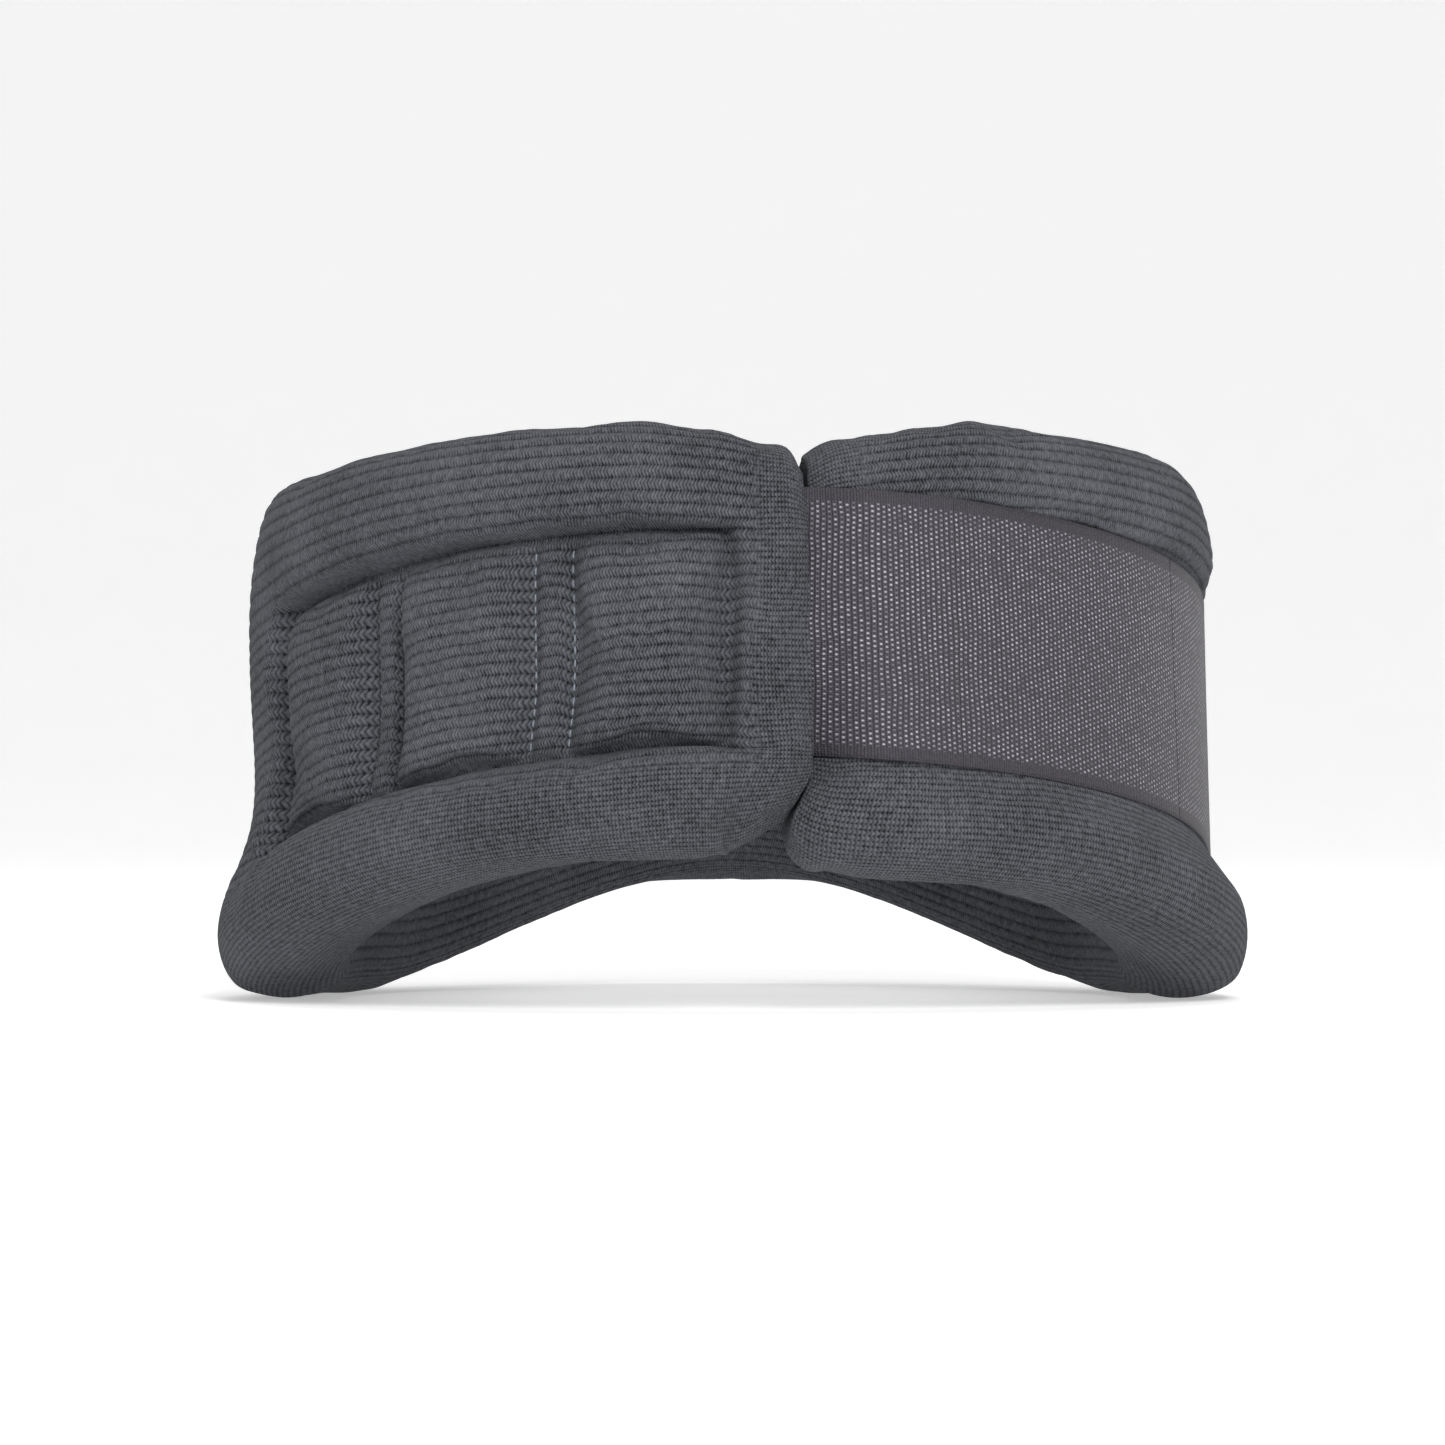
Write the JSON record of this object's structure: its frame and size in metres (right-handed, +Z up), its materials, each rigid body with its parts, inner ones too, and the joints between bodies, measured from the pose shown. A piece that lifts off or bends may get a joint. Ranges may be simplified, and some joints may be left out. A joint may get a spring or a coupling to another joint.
{
  "type": "soft foam neck collar",
  "caption": "Soft padded neck collar that wraps the neck, opens at the back and closes there with a wide hook-and-loop tape.",
  "frame": {"origin": "middle of the collar's footprint, on the level that its two side lobes stand on", "axes": "+Z up along the neck, +Y to the wearer's front (chin side), +X to the wearer's right; the closure is on the -Y side"},
  "size_m": [0.2, 0.1883, 0.1097],
  "materials": {
    "knit": "matte",
    "pad_knit": "matte",
    "foam": "matte",
    "stay_plastic": "matte",
    "thread": "matte",
    "tape_weave": "satin",
    "hook_face": "matte",
    "loop_pile": "matte",
    "binding": "matte"
  },
  "bodies": {
    "front": {"front_cover": "knit", "front_lining": "knit", "front_foam": "foam", "front_pad_1": "pad_knit", "front_pad_2": "pad_knit", "front_pad_3": "pad_knit", "front_stay_sleeve_1": "knit", "front_stay_1": "stay_plastic", "front_stay_sleeve_2": "knit", "front_stay_2": "stay_plastic", "front_stitching": "thread"},
    "left_wing": {"left_cover": "knit", "left_lining": "knit", "left_foam": "foam", "left_pad_1": "pad_knit", "left_pad_2": "pad_knit", "left_pad_3": "pad_knit", "left_stay_sleeve_1": "knit", "left_stay_1": "stay_plastic", "left_stay_sleeve_2": "knit", "left_stay_2": "stay_plastic", "left_stitching": "thread", "tape_anchor": "tape_weave"},
    "right_wing": {"right_cover": "knit", "right_lining": "knit", "right_foam": "foam", "right_pad_1": "pad_knit", "right_pad_2": "pad_knit", "right_pad_3": "pad_knit", "right_stay_sleeve_1": "knit", "right_stay_1": "stay_plastic", "right_stay_sleeve_2": "knit", "right_stay_2": "stay_plastic", "right_stitching": "thread", "loop_patch": "loop_pile"},
    "tape_root": {"tape_root": "tape_weave", "hooks_root": "hook_face"},
    "tape_middle": {"tape_middle": "tape_weave", "hooks_middle": "hook_face"},
    "tape_tab": {"tape_tab": "tape_weave", "hooks_tab": "hook_face", "tab_binding": "binding"}
  },
  "joints": [
    {"name": "left_wing_open", "type": "hinge", "parent": "front", "child": "left_wing", "pos_m": [-0.09227, 0.04108, 0.055], "axis": [0, 0, -1], "range_deg": [0, 45]},
    {"name": "right_wing_open", "type": "hinge", "parent": "front", "child": "right_wing", "pos_m": [0.09227, 0.04108, 0.055], "axis": [0, 0, 1], "range_deg": [0, 45]},
    {"name": "tape_peel", "type": "hinge", "parent": "left_wing", "child": "tape_root", "pos_m": [0.01006, -0.08649, 0.0734], "axis": [0, 0, -1], "range_deg": [0, 58.5]},
    {"name": "tape_unwrap", "type": "hinge", "parent": "tape_root", "child": "tape_middle", "pos_m": [0.07074, -0.06597, 0.0668], "axis": [0, 0, -1], "range_deg": [0, 22.5]},
    {"name": "tab_lift", "type": "hinge", "parent": "tape_middle", "child": "tape_tab", "pos_m": [0.09657, -0.00675, 0.054], "axis": [0, 0, -1], "range_deg": [0, 65]}
  ],
  "couplings": [
    {"joint": "right_wing_open", "follows": "left_wing_open", "ratio": 1},
    {"joint": "tape_peel", "follows": "left_wing_open", "ratio": 1.3},
    {"joint": "tape_unwrap", "follows": "left_wing_open", "ratio": 0.5}
  ]
}
